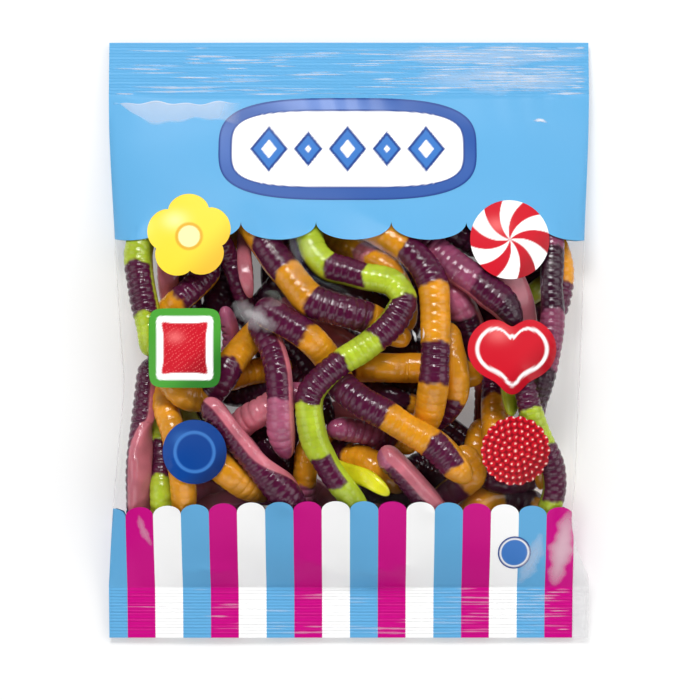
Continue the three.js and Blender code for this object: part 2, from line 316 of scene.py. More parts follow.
# The snakes inside the pile and those that show through the back film are laid by seeded random draws.
MIDDLE_TRIES = 200
BACK_TRIES = 260
RANDOM_KINDS = [("o", "ppopp"), ("g", "ppgpp"), ("k", "pmppm"), ("k", "ddd"), ("p", "ddd"), ("p", "dpd")]
RANDOM_ROLL = (-60, 60)
RANDOM_WIDTH = (10.5, 13.0)
RANDOM_LENGTH = (45.0, 115.0)
RANDOM_STEPS = 6
RANDOM_BEND = 0.35
RANDOM_WANDER = 0.2
RANDOM_REACH = 90.0
PILE_BOTTOM = -98.0
PILE_TOP = 78.0
GAP_MARGIN = 5.0
CLEAR_GAPS = [(-42.5, 27, 7), (-86.5, 27, 4), (54, -33, 8)]


def smooth_line(points, step):
    """Points a step apart on a smooth line through the given points, and the given points' lengths along."""
    points = np.array(points, float)
    padded = np.vstack([2 * points[0] - points[1], points, 2 * points[-1] - points[-2]])
    dense = []
    per_span = 24
    t = np.arange(per_span)[:, None] / per_span
    for a, b, c, d in zip(padded[:-3], padded[1:-2], padded[2:-1], padded[3:]):
        dense.append(b + t / 2 * (c - a + t * (2 * a - 5 * b + 4 * c - d + t * (3 * (b - c) + d - a))))
    dense = np.vstack([*dense, points[-1:]])
    along = np.concatenate([[0], np.cumsum(np.linalg.norm(np.diff(dense, axis=0), axis=1))])
    places = np.linspace(0, along[-1], max(int(along[-1] / step), 4) + 1)
    line = np.stack([np.interp(places, along, dense[:, i]) for i in range(dense.shape[1])], axis=1)
    return line, places, along[::per_span]


LAY_STEP = 1.5
SLOPE_LIMIT = 0.55
HALF_HEIGHT = 5.2
HALF_WIDTH = 6.2
NEST = 0.93
FILM_CLEARANCE = 0.5
BACK_CLEARANCE = 1.3
PRINT_CLEARANCE = 3.5
CLEARANCE_TOP = 44.0
CLEARANCE_BOTTOM = -68.0
CLEARANCE_FADE = 14.0
MOST_OVERLAP = 4.5
MOST_SQUEEZE = 7.0
MOST_BLOCKED = 0.55
VIEW_DEPTH = 7.0


def half_extent(snake):
    """How far a snake reaches above its middle line, for its roll and width."""
    roll = math.radians(snake.roll + snake.twist / 2)
    return math.hypot(HALF_HEIGHT * math.cos(roll), HALF_WIDTH * math.sin(roll)) * snake.width / 13


def limit_slope(heights, step, side):
    """The heights with every rise or fall gentler than SLOPE_LIMIT, on the free side of what they clear."""
    reach = np.arange(len(heights)) * step * SLOPE_LIMIT
    spread = np.abs(reach[:, None] - reach[None, :])
    if side > 0:
        limited = np.min(heights[None, :] + spread, axis=1)
    else:
        limited = np.max(heights[None, :] - spread, axis=1)
    for _ in range(6):
        limited[1:-1] = (limited[:-2] + 2 * limited[1:-1] + limited[2:]) / 4
    return limited


def route_points(snake):
    """A snake's route, moved from the photo's plane to just under the front film."""
    x, y = np.array(snake.route, float).T
    return np.column_stack(seen_at(x, y, ceiling(x, y) - VIEW_DEPTH))


def stacked_heights(line, snake, other_line, other_z, other, side):
    """The heights along a line at which a snake touches another one from its far side."""
    apart = np.linalg.norm(line[:, None] - other_line[None], axis=2)
    beside = NEST * (snake.width + other.width) / 2
    tall = (half_extent(snake) + half_extent(other)) * np.sqrt(np.clip(1 - (apart / beside) ** 2, 0, 1))
    heights = np.where(apart < beside, other_z[None] - side * tall, side * np.inf)
    return heights.min(1) if side > 0 else heights.max(1)


def lay(snake, laid, side):
    """Presses a snake against the front film (side 1) or the back film (side -1), beyond those laid."""
    line, places, _ = smooth_line(route_points(snake), LAY_STEP)
    reach = half_extent(snake)
    lowest = bag_floor(*line.T) + reach + BACK_CLEARANCE
    beyond_window = np.maximum(line[:, 1] - CLEARANCE_TOP, CLEARANCE_BOTTOM - line[:, 1])
    clearance = FILM_CLEARANCE + PRINT_CLEARANCE * smooth_step(beyond_window, 0, CLEARANCE_FADE)
    highest = ceiling(*line.T) - reach - clearance
    limit = highest if side > 0 else lowest
    for other in laid:
        heights = stacked_heights(line, snake, *other, side)
        limit = np.minimum(limit, heights) if side > 0 else np.maximum(limit, heights)
    free = limit_slope(limit, LAY_STEP, side)
    z = np.clip(free, lowest, np.maximum(highest, lowest))
    return line, z, places, np.abs(free - z).max()


def share_blocked(line, z, snake, laid):
    """The share of a snake laid from the back that would press into those laid from the front."""
    press = np.full(len(z), -np.inf)
    for other in laid:
        press = np.maximum(press, z - stacked_heights(line, snake, *other, 1))
    return np.mean(press > MOST_OVERLAP)


def random_snake(draw, middle):
    """A gently curved snake about a place in the pile, clear of the gaps that light shows through."""
    for _ in range(60):
        length = draw.uniform(*RANDOM_LENGTH)
        start = draw.uniform(0, 2 * math.pi)
        bend = draw.uniform(-RANDOM_BEND, RANDOM_BEND)
        wander = draw.uniform(-RANDOM_WANDER, RANDOM_WANDER, RANDOM_STEPS)
        heading = start + np.cumsum(bend + wander)
        steps = np.column_stack([np.cos(heading), np.sin(heading)]) * length / RANDOM_STEPS
        points = np.vstack([[0, 0], np.cumsum(steps, axis=0)])
        points += np.array(middle) - points[RANDOM_STEPS // 2] + draw.uniform(-4, 4, 2)
        xs, ys = points.T
        is_inside = np.all(np.abs(share_across(xs, ys)) < 0.88) and np.all(np.abs(xs) < RANDOM_REACH)
        is_inside &= bool(np.all((ys > PILE_BOTTOM) & (ys < PILE_TOP)))
        line = smooth_line(points, 4.0)[0]
        from_gaps = [np.linalg.norm(line - (x, y), axis=1).min() - size for x, y, size in CLEAR_GAPS]
        if is_inside and min(from_gaps) > GAP_MARGIN:
            break
    else:
        return None
    base, bands = RANDOM_KINDS[draw.integers(len(RANDOM_KINDS))]
    bands = "".join(bands[i % len(bands)] for i in range(len(points)))
    return Snake(base, draw.uniform(*RANDOM_ROLL), draw.uniform(*RANDOM_WIDTH), bands, points.tolist())


def section(bead_phases, count_base):
    """The D section at a width of 1: points across and up, shares of rib and of bead, and 1 on the base."""
    back = (np.arange(BEADS_ACROSS)[:, None] + np.array(bead_phases)).ravel() / BEADS_ACROSS * math.pi
    back = np.append(back, math.pi)
    across = np.cos(back) / 2
    up = 0.47 * np.sin(back) ** 0.92
    rib = np.clip(np.sin(back) / 0.3, 0, 1) ** 0.6
    bead = np.abs(np.sin(BEADS_ACROSS * back)) ** 0.6
    base = np.linspace(0, math.pi, count_base + 2)[1:-1] + math.pi
    base_across = np.sign(np.cos(base)) * np.abs(np.cos(base)) ** 0.5 / 2
    base_up = -0.33 * np.abs(np.sin(base)) ** 0.42
    on_base = np.concatenate([np.clip(1 - np.sin(back) / 0.13, 0, 1), np.ones(count_base)])
    plain = np.zeros(count_base)
    pairs = ((across, base_across), (up, base_up), (rib, plain), (bead, plain))
    return (*[np.concatenate(pair) for pair in pairs], on_base)


def snake_mesh(snake, spine, places, rib_phases, bead_phases, count_base, draw):
    """Vertices, faces and tints of one snake swept along its spine, with rings set on its ribs."""
    length = places[-1]
    ribs = max(round(length / (PITCH * draw.uniform(0.92, 1.1))), 6)
    phase = np.append((np.arange(ribs)[:, None] + np.array(rib_phases)).ravel(), ribs)
    at = phase * length / ribs
    centre = np.stack([np.interp(at, places, spine[:, i]) for i in range(3)], axis=1)
    ahead = np.gradient(centre, at, axis=0)
    ahead[1:-1] = (ahead[:-2] + ahead[1:-1] + ahead[2:]) / 3
    ahead /= np.linalg.norm(ahead, axis=1, keepdims=True)
    out = share_across(centre[:, 0], centre[:, 1])
    up = np.column_stack([0.5 * np.sign(out) * np.abs(out) ** 3, np.zeros(len(at)), np.ones(len(at))])
    up -= ahead * np.sum(up * ahead, axis=1, keepdims=True)
    up /= np.linalg.norm(up, axis=1, keepdims=True)
    right = np.cross(ahead, up)
    sway = draw.uniform(-9, 9) * np.sin(at / 30 + draw.uniform(0, 6))
    roll = np.radians(snake.roll + snake.twist * smooth_step(at / length, *snake.over) + sway)[:, None]
    back = up * np.cos(roll) + right * np.sin(roll)
    side = np.cross(ahead, back)

    across, rise, rib, bead, on_base = section(bead_phases, count_base)
    wobble = 1 + 0.03 * np.sin(at / 9 + draw.uniform(0, 6)) + 0.02 * np.sin(at / 3.7)
    head = np.sqrt(np.clip(1 - (1 - np.clip(at / HEAD_LENGTH, 0, 1)) ** 2, 0.002, 1))
    tail = np.clip((length - at) / TAIL_LENGTH, 0, 1)
    tail = np.sqrt(np.clip(1 - (1 - tail) ** 2, 0.002, 1)) ** 0.9
    size = (snake.width * wobble * head * tail)[:, None]
    ring_wave = np.abs(np.sin(math.pi * phase))[:, None] ** 0.6
    ends = (np.clip(at / 6, 0, 1) * np.clip((length - at) / 9, 0, 1))[:, None]
    lengths = smooth_line(route_points(snake), LAY_STEP)[2]
    depths = [SMOOTHER if tint in SMOOTH_TINTS else 1.0 for tint in snake.bands]
    depth = depths[0] * np.ones(len(at))
    for i in range(1, len(depths) - 1):
        depth += (depths[i] - depths[i - 1]) * smooth_step(at, lengths[i] - 2, lengths[i] + 2)
    depth *= 0.8 + 0.3 * np.sin(at / draw.uniform(11, 19) + draw.uniform(0, 6))
    beaded = draw.uniform(0.05, 0.5) * depth[:, None]
    relief = RIB_DEPTH * depth[:, None] * ends * rib * (ring_wave * (1 - beaded + beaded * bead) - 0.55)
    scale = 1 + 2 * relief / snake.width
    offset_across = size * across * scale
    offset_up = size * rise * scale
    points = centre[:, None] + offset_across[..., None] * side[:, None]
    points = points + offset_up[..., None] * back[:, None]

    bulge = BAND_BULGE * draw.uniform(0.3, 1.2) * (0.6 - 4 * across ** 2)
    waver = 0.4 * np.sin(9 * across + draw.uniform(0, 6)) + 0.15 * np.sin(23 * across)
    where = at[:, None] + bulge + waver
    tints = np.array([TINTS[tint] for tint in snake.bands])
    shade = np.broadcast_to(tints[0], (*where.shape, 3)).copy()
    for i in range(1, len(lengths) - 1):
        mix = smooth_step(where, lengths[i] - BAND_BLUR, lengths[i] + BAND_BLUR)[..., None]
        shade = shade * (1 - mix) + tints[i] * mix
    base_mix = smooth_step(on_base, 0.1, 0.9)[None, :, None]
    shade = shade * (1 - base_mix) + np.array(TINTS[snake.base]) * base_mix
    shade = shade * draw.uniform(0.9, 1.1)

    rings, around = points.shape[:2]
    vertices = np.vstack([points.reshape(-1, 3), points[0].mean(0), points[-1].mean(0)])
    colours = np.vstack([shade.reshape(-1, 3), shade[0].mean(0), shade[-1].mean(0)])
    ring = np.arange(rings - 1)[:, None] * around
    column = np.arange(around)[None, :]
    following = (column + 1) % around
    corners = [ring + column, ring + around + column, ring + around + following, ring + following]
    quads = np.stack(corners, axis=-1).reshape(-1, 4)
    last = (rings - 1) * around
    caps = [(rings * around, i, (i + 1) % around) for i in range(around)]
    caps += [(rings * around + 1, last + (i + 1) % around, last + i) for i in range(around)]
    return vertices, quads, np.array(caps), colours


CELL = 3.0
CANDIDATES = 8


class Cover:
    """How many snakes lie over each cell of the pile, to send new ones where there are fewest."""

    def __init__(self):
        x, y = np.meshgrid(np.arange(-108, 108, CELL), np.arange(PILE_BOTTOM, PILE_TOP, CELL))
        self.cells = np.stack([x.ravel(), y.ravel()], axis=1)
        is_open = (np.abs(share_across(*self.cells.T)) < 0.84) & (np.abs(self.cells[:, 0]) < RANDOM_REACH)
        for gx, gy, size in CLEAR_GAPS:
            is_open &= np.linalg.norm(self.cells - (gx, gy), axis=1) > size + 6
        self.counts = np.where(is_open, 0.0, 50.0)

    def under(self, line, width):
        near = np.linalg.norm(self.cells[:, None] - line[None, ::2], axis=2).min(1)
        return near < width / 2

    def draw_snakes(self, draw):
        """Random snakes about places that few snakes cover."""
        few = np.argsort(self.counts + draw.uniform(0, 0.9, len(self.counts)))[:CANDIDATES]
        snakes = [random_snake(draw, self.cells[i]) for i in few]
        return [snake for snake in snakes if snake]

    def best(self, snakes):
        """The snake that covers the emptiest cells."""
        def worth(snake):
            cells = self.under(smooth_line(route_points(snake), 3.0)[0], snake.width)
            return np.mean(0.35 ** self.counts[cells]) if cells.any() else 0

        return max(snakes, key=worth)


def lay_all_snakes():
    """Every snake as (snake, spine, places, is_front), laid against the front film or the back film."""
    draw = np.random.default_rng(SEED)
    cover = Cover()
    from_front = []
    from_back = []
    made = []

    def keep(snake, line, z, places, laid, is_front):
        laid.append((line, z, snake))
        made.append((snake, np.column_stack([line, z]), places, is_front))
        cover.counts += cover.under(line, snake.width)

    for snakes, is_front in ((FRONT_SNAKES, True), (HIDDEN_SNAKES, False)):
        for snake in snakes:
            line, z, places, _ = lay(snake, from_front, 1)
            keep(snake, line, z, places, from_front, is_front)
    for _ in range(MIDDLE_TRIES):
        snakes = cover.draw_snakes(draw)
        if not snakes:
            continue
        snake = cover.best(snakes)
        line, z, places, squeeze = lay(snake, from_front, 1)
        if squeeze < MOST_SQUEEZE:
            keep(snake, line, z, places, from_front, False)
    for _ in range(BACK_TRIES):
        snakes = cover.draw_snakes(draw)
        if not snakes:
            continue
        snake = cover.best(snakes)
        snake = snake._replace(roll=180 + snake.roll)
        line, z, places, squeeze = lay(snake, from_back, -1)
        if squeeze < MOST_SQUEEZE and share_blocked(line, z, snake, from_front) < MOST_BLOCKED:
            keep(snake, line, z, places, from_back, False)
    return made


def mesh_object(name, vertices, faces, material):
    """A mesh piece from points in millimetres that rides on the bag."""
    mesh = bpy.data.meshes.new(name)
    mesh.from_pydata((np.asarray(vertices) * MM).tolist(), [], [list(map(int, face)) for face in faces])
    mesh.materials.append(material)
    mesh.polygons.foreach_set("use_smooth", [True] * len(mesh.polygons))
    mesh.update()
    piece = bpy.data.objects.new(name, mesh)
    bpy.context.scene.collection.objects.link(piece)
    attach(piece, "root")
    return piece


def paint_tints(piece, tints):
    """Gives every point of a piece its own tint."""
    tints = np.reshape(tints, (-1, 3))
    layer = piece.data.color_attributes.new("tint", "FLOAT_COLOR", "POINT")
    layer.data.foreach_set("color", np.column_stack([tints, np.ones(len(tints))]).astype(np.float32).ravel())


def paint_cover(piece, cover):
    """Gives every point of a piece its own strength of glare."""
    layer = piece.data.attributes.new("cover", "FLOAT", "POINT")
    layer.data.foreach_set("value", np.ravel(cover).astype(np.float32))


# Materials. A node is added with its inputs, each a plain value or another node's output.
def add(owner, kind, inputs, **settings):
    node = owner.node_tree.nodes.new("ShaderNode" + kind)
    for name, value in settings.items():
        setattr(node, name, value)
    for name, value in inputs.items():
        if isinstance(value, bpy.types.NodeSocket):
            owner.node_tree.links.new(value, node.inputs[name])
        else:
            node.inputs[name].default_value = value
    return node


def new_material(name):
    material = bpy.data.materials.new(name)
    material.use_nodes = True
    material.node_tree.nodes.clear()
    return material


def finished(material, shader):
    """The material, with the shader as its surface."""
    add(material, "OutputMaterial", {"Surface": shader.outputs[0]})
    return material


def noise(material, scale, detail):
    """An even noise in the piece's own space."""
    place = add(material, "TexCoord", {}).outputs["Object"]
    return add(material, "TexNoise", {"Vector": place, "Scale": scale, "Detail": detail}).outputs["Fac"]


def ranged(owner, value, start, end, low, high):
    """A value moved from the range start to end into the range low to high."""
    inputs = {"Value": value, "From Min": start, "From Max": end, "To Min": low, "To Max": high}
    return add(owner, "MapRange", inputs).outputs["Result"]


def bumped(material, height, strength, distance):
    inputs = {"Height": height, "Strength": strength, "Distance": distance}
    return add(material, "Bump", inputs).outputs["Normal"]


def painted(material, name, output):
    """What is painted on the points of a piece."""
    return add(material, "Attribute", {}, attribute_name=name).outputs[output]


def calculated(material, operation, first, second):
    return add(material, "Math", {0: first, 1: second}, operation=operation).outputs["Value"]


def plain_shader(material, kind, shade):
    return add(material, kind, {"Color": (*shade, 1)})


def mixed_shaders(material, share, first, second):
    return add(material, "MixShader", {"Fac": share, 1: first.outputs[0], 2: second.outputs[0]})


def make_gummy():
    """Glossy, slightly see-through gummy, in each snake's own tints."""
    material = new_material("gummy")
    light = ranged(material, noise(material, 110, 3), 0.3, 0.7, 0.76, 1.18)
    inputs = {"Factor": 1, "A": painted(material, "tint", "Color"), "B": light}
    mottled = add(material, "Mix", inputs, data_type="RGBA", blend_type="MULTIPLY")
    return finished(material, add(material, "BsdfPrincipled", {
        "Base Color": mottled.outputs["Result"],
        "Subsurface Weight": 0.25,
        "Subsurface Radius": (1.0, 0.55, 0.4),
        "Subsurface Scale": 0.0028,
        "Roughness": 0.15,
        "IOR": 1.47,
        "Normal": bumped(material, noise(material, 900, 4), 0.25, 0.0004),
    }))


def make_clear_film():
    """Thin clear film: see-through, with a sharp gloss and a little milky haze where it is seen edge-on."""
    material = new_material("clear_film")
    clear = plain_shader(material, "BsdfTransparent", (0.99, 0.99, 0.99))
    creased = bumped(material, noise(material, 70, 3), 0.15, 0.0006)
    gloss = add(material, "BsdfGlossy", {"Roughness": 0.04, "Normal": creased})
    milky = plain_shader(material, "BsdfDiffuse", (0.88, 0.88, 0.9))
    faint = calculated(material, "MULTIPLY", add(material, "Fresnel", {"IOR": 1.33}).outputs["Fac"], 0.2)
    glossed = mixed_shaders(material, calculated(material, "MINIMUM", faint, 0.05), clear, gloss)
    edge = add(material, "LayerWeight", {"Blend": 0.25}).outputs["Facing"]
    haze = ranged(material, edge, 0.4, 0.75, 0.0, 0.8)
    return finished(material, mixed_shaders(material, haze, glossed, milky))


def ink_shader(material, tint, roughness, ior):
    return add(material, "BsdfPrincipled", {"Base Color": tint, "Roughness": roughness, "IOR": ior})


def make_print(name, tint, variation=0.04):
    """Ink printed on film: a smooth field of colour under a gloss, faintly uneven."""
    material = new_material(name)
    dark, light = [(*[min(c * share, 1) for c in tint], 1) for share in (1 - variation, 1 + variation)]
    inputs = {"Factor": noise(material, 30, 5), "A": dark, "B": light}
    mixed = add(material, "Mix", inputs, data_type="RGBA")
    return finished(material, ink_shader(material, mixed.outputs["Result"], 0.36, 1.22))


def make_picture_ink():
    """Ink of the printed pictures, in the tints that are painted on their meshes."""
    material = new_material("picture_ink")
    return finished(material, ink_shader(material, painted(material, "tint", "Color"), 0.34, 1.3))


def make_glare():
    """Painted reflection: milky glare on the film, as strong as each mesh's own cover and very slightly
    uneven.
    """
    material = new_material("glare")
    uneven = ranged(material, noise(material, 260, 5), 0.35, 0.65, 0.96, 1.0)
    strength = calculated(material, "MULTIPLY", painted(material, "cover", "Fac"), uneven)
    clear = add(material, "BsdfTransparent", {})
    milky = plain_shader(material, "BsdfDiffuse", (0.95, 0.95, 0.96))
    return finished(material, mixed_shaders(material, strength, clear, milky))


def make_bare():
    """Unprinted milky film, faintly streaked along the bag."""
    material = new_material("bare_film")
    place = add(material, "TexCoord", {}).outputs["Object"]
    stretched = add(material, "Mapping", {"Vector": place, "Scale": (260, 12, 1)}).outputs["Vector"]
    streaks = add(material, "TexNoise", {"Vector": stretched, "Scale": 1.0}).outputs["Fac"]
    clear = add(material, "BsdfTransparent", {})
    milky = plain_shader(material, "BsdfDiffuse", (0.76, 0.76, 0.77))
    milkiness = ranged(material, streaks, 0.3, 0.7, 0.45, 0.8)
    return finished(material, mixed_shaders(material, milkiness, clear, milky))


bare_film = make_bare()
gummy = make_gummy()
clear_film = make_clear_film()
picture_ink = make_picture_ink()
glare = make_glare()
INKS = {
    "blue": colour(98, 170, 218),
    "white": colour(252, 252, 252),
    "magenta": colour(200, 0, 130),
}
inks = {name: make_print(f"ink_{name}", tint) for name, tint in INKS.items()}

# The snakes, joined by kind of base and by how deep they lie.
FINE = {"rib_phases": (0, 0.13, 0.36, 0.64, 0.87), "bead_phases": (0, 0.2, 0.5, 0.8), "count_base": 6}
COARSE = {"rib_phases": (0, 0.25, 0.75), "bead_phases": (0, 0.5), "count_base": 4}
KIND_NAMES = {"o": "orange", "r": "orange", "g": "green", "y": "green", "k": "pink", "w": "pink",
              "p": "purple", "d": "purple"}
MOST_QUADS = 87000


def make_snakes():
    """All snakes as joined pieces. Returns all their points."""
    draw = np.random.default_rng(SEED + 1)
    groups = {}
    all_points = []
    for snake, spine, places, is_front in lay_all_snakes():
        detail = FINE if is_front else COARSE
        vertices, quads, caps, tints = snake_mesh(snake, spine, places, draw=draw, **detail)
        all_points.append(vertices)
        kind = f"{KIND_NAMES[snake.base]}_snakes_{'front' if is_front else 'back'}"
        groups.setdefault(kind, []).append((vertices, quads, caps, tints))
    for kind, members in groups.items():
        batches = [[]]
        for member in members:
            if sum(len(m[1]) for m in batches[-1]) > MOST_QUADS:
                batches.append([])
            batches[-1].append(member)
        for number, batch in enumerate(batches, 1):
            starts = np.cumsum([0] + [len(m[0]) for m in batch])
            faces = [face for m, start in zip(batch, starts) for face in [*(m[1] + start), *(m[2] + start)]]
            piece = mesh_object(f"{kind}_{number}", np.vstack([m[0] for m in batch]), faces, gummy)
            paint_tints(piece, np.vstack([m[3] for m in batch]))
    return np.vstack(all_points)


snake_points = make_snakes()

# The films. Each is worked out on a grid of angles across and places along the bag, then read smoothly.
GRID_COLUMNS = 180
GRID_ROWS = 200
SAG = 1.6
SAG_FADE = 15.0
TOUCH_GAP = 0.35
FRONT_STRETCH = 2.0
RELAX_ROUNDS = 320
PULL = 0.004
grid_angles = np.linspace(-math.pi / 2, math.pi / 2, GRID_COLUMNS + 1)
grid_places = np.linspace(BOTTOM_SEAL_START, TOP_SEAL_START, GRID_ROWS + 1)


def relax_film(side):
    """Heights of a film drawn over the snakes: side 1 is the front and side -1 the back."""
    angle, y = np.meshgrid(grid_angles, grid_places)
    u = np.sin(angle)
    x = place_across(u, y)
    smooth = ceiling(x, y) if side > 0 else bag_floor(x, y)
    from_print = np.minimum(WINDOW_TOP - y, y - WINDOW_BOTTOM) + SAG_FADE
    sag = SAG * smooth_step(from_print, 0, SAG_FADE) * (1 - np.abs(u) ** 6)
    rest = smooth - side * sag if side > 0 else smooth
    px, py, pz = snake_points.T
    column = np.arcsin(share_across(px, py)) + math.pi / 2
    column = np.clip(np.round(column / math.pi * GRID_COLUMNS).astype(int), 0, GRID_COLUMNS)
    row = (py - BOTTOM_SEAL_START) / (TOP_SEAL_START - BOTTOM_SEAL_START)
    row = np.clip(np.round(row * GRID_ROWS).astype(int), 0, GRID_ROWS)
    touch = np.full(x.shape, -1e3)
    np.maximum.at(touch, (row, column), side * pz + TOUCH_GAP)
    wide = touch.copy()
    for dr, dc in ((0, 1), (0, -1), (1, 0), (-1, 0)):
        wide = np.maximum(wide, np.roll(touch, (dr, dc), (0, 1)))
    wide = np.minimum(wide, side * smooth + (FRONT_STRETCH if side > 0 else 0.0))
    film = np.maximum(side * rest, wide)
    for _ in range(RELAX_ROUNDS):
        mean = (film[:-2, 1:-1] + film[2:, 1:-1] + film[1:-1, :-2] + film[1:-1, 2:]) / 4
        pulled = (1 - PULL) * mean + PULL * side * rest[1:-1, 1:-1]
        film[1:-1, 1:-1] = np.maximum(pulled, wide[1:-1, 1:-1])
    return side * film


film_heights = {side: relax_film(side) for side in (1, -1)}


def cubic_weights(t):
    """The weights of the four grid values about a place, t of the way from the second to the third."""
    first = ((2 - t) * t - 1) * t
    second = (3 * t - 5) * t * t + 2
    third = ((4 - 3 * t) * t + 1) * t
    return np.stack([first, second, third, (t - 1) * t * t]) / 2


def crimps(x, y):
    """The seals' ridges across the bag, every second one stronger and each uneven along its length."""
    into = np.where(y > 0, y - TOP_SEAL_START, BOTTOM_SEAL_START - y)
    length = np.where(y > 0, TOP_SEAL, BOTTOM_SEAL)
    fade = smooth_step(into, 0.3, 1.2) * smooth_step(length - into, 0.4, 1.4)
    uneven = 0.65 + 0.35 * np.sin(x / 19 + np.floor(into / CRIMP_PITCH) * 2.4)
    return CRIMP_DEPTH * fade * uneven * np.sin(2 * math.pi * into / CRIMP_PITCH)


SLOW_WAVE = 0.5
FINE_WAVE = 0.22


def film_height(side, x, y):
    """Height of a film at any place, crimps and the seals' slow waves included."""
    heights = film_heights[side]
    column = (np.arcsin(share_across(x, y)) + math.pi / 2) / math.pi * GRID_COLUMNS
    row = np.clip((y - BOTTOM_SEAL_START) / (TOP_SEAL_START - BOTTOM_SEAL_START), 0, 1) * GRID_ROWS
    c0 = np.clip(column.astype(int), 0, GRID_COLUMNS - 1)
    r0 = np.clip(row.astype(int), 0, GRID_ROWS - 1)
    wc = cubic_weights(column - c0)
    wr = cubic_weights(row - r0)
    inner = np.zeros_like(column)
    for i in range(4):
        for j in range(4):
            r = np.clip(r0 + i - 1, 0, GRID_ROWS)
            c = np.clip(c0 + j - 1, 0, GRID_COLUMNS)
            inner += wr[i] * wc[j] * heights[r, c]
    is_seal = (y > TOP_SEAL_START) | (y < BOTTOM_SEAL_START)
    from_seal = np.where(y > 0, TOP_SEAL_START - y, y - BOTTOM_SEAL_START)
    near_seal = smooth_step(from_seal, 22, 0) * smooth_step(from_seal, -12, 0)
    waves = SLOW_WAVE * np.sin(x / 23 + y / 60) * np.cos(x / 61 + 1) * smooth_step(from_seal, 14, 0)
    waves += FINE_WAVE * np.sin(x / 2.7 + 3 * np.sin(x / 13) + y / 9) * np.sin(x / 37 + 2) * near_seal
    flat = edge_height(y) + crimps(x, y)
    return np.where(is_seal, flat, inner) + waves + side * FILM_GAP


def seal_rows(start, end, step=0.35):
    return np.linspace(start, end, int(abs(end - start) / step) + 1)


def grid_faces(rows, columns, side):
    """Quads of a grid of points, facing up for side 1 and down for side -1."""
    row = np.arange(rows - 1)[:, None] * columns
    column = np.arange(columns - 1)[None, :]
    corner = row + column
    quads = np.stack([corner, corner + 1, corner + columns + 1, corner + columns], axis=-1).reshape(-1, 4)
    return quads if side > 0 else quads[:, ::-1]


def film_points(side, x, y, lift):
    """A grid of places as points that lie lift off a film."""
    return np.stack([x, y, film_height(side, x, y) + side * lift], axis=-1).reshape(-1, 3)


def film_patch(name, side, x, y, material, lift=0.0):
    """A piece that lies on a film at a grid of places."""
    return mesh_object(name, film_points(side, x, y, lift), grid_faces(*x.shape, side), material)


def make_clear_films():
    """The front film and the back film from end to end, seals included."""
    for side, columns, step in ((1, 150, 1.2), (-1, 70, 2.2)):
        rows = np.concatenate([
            seal_rows(BOTTOM_END, BOTTOM_SEAL_START)[:-1],
            np.arange(BOTTOM_SEAL_START, TOP_SEAL_START, step),
            seal_rows(TOP_SEAL_START, TOP_END),
        ])
        u = np.sin(np.linspace(-math.pi / 2, math.pi / 2, columns))
        across, y = np.meshgrid(u, rows)
        name = "front_film" if side > 0 else "back_film"
        piece = film_patch(name, side, place_across(across, y), y, clear_film)
        if side > 0:
            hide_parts("bag")


make_clear_films()

# The print. The blue header ends in scallops, and stripes with round tops stand on the bottom seal.
PRINT_LIFT = 0.09
SCALLOP_PITCH = 33.2
SCALLOP_CUSP = 52.3
SCALLOP_DEPTH = 8.1
SCALLOP_PHASE = -80.9
STRIPE_WIDTH = 12.46
STRIPE_ORDER = ["white", "blue", "magenta"]
FIRST_STRIPE_END = -99.2
STRIPE_TOP = -70.8
STRIPE_ROUND = 4.2
STRIPE_ARCH = 3.7
STRIPES_END = 100.0


def scallop_edge(x):
    """The header's lower edge: round scallops that hang between cusps a pitch apart."""
    t = np.mod((x - SCALLOP_PHASE) / SCALLOP_PITCH, 1) * 2 - 1
    return SCALLOP_CUSP - SCALLOP_DEPTH * np.sqrt(np.clip(1 - np.abs(t) ** 2.0, 0, 1)) ** 0.95


def scallop_columns(count):
    """Places across the header, with one on every cusp and count of them to a scallop."""
    xs = []
    first = SCALLOP_PHASE - SCALLOP_PITCH
    for number in range(8):
        start = first + number * SCALLOP_PITCH
        xs.append(start + SCALLOP_PITCH * (1 - np.cos(np.linspace(0, math.pi, count + 1)[:-1])) / 2)
    return np.concatenate(xs)


def make_header(side):
    """The blue header, from its scallops to the end of the top seal."""
    u = np.sin(np.linspace(-math.pi / 2, math.pi / 2, 60))
    middle = place_across(u, SCALLOP_CUSP)
    cusps = scallop_columns(26 if side > 0 else 8)
    cusps = cusps[(cusps > middle[1]) & (cusps < middle[-2])]
    columns = np.sort(np.concatenate([share_across(cusps, SCALLOP_CUSP), [-1, 1]]))
    share = np.linspace(0, 1, 44 if side > 0 else 16)[:, None]
    edge = scallop_edge(place_across(columns, SCALLOP_CUSP))[None, :]
    lower = edge + (TOP_SEAL_START - edge) * share
    rows = seal_rows(TOP_SEAL_START, TOP_END)[1:]
    seal = np.broadcast_to(rows[:, None], (len(rows), len(columns)))
    y = np.vstack([lower, seal])
    x = place_across(np.broadcast_to(columns, y.shape), y)
    name = "header_front" if side > 0 else "header_back"
    return film_patch(name, side, x, y, inks["blue"], PRINT_LIFT)


def stripe_top(x, start, end):
    t = (x - (start + end) / 2) / (STRIPE_WIDTH / 2)
    dome = STRIPE_ROUND * (np.sqrt(np.clip(1 - t * t, 0, 1)) - 1)
    arch = STRIPE_ARCH * (x / 100) ** 2
    return STRIPE_TOP - arch + dome


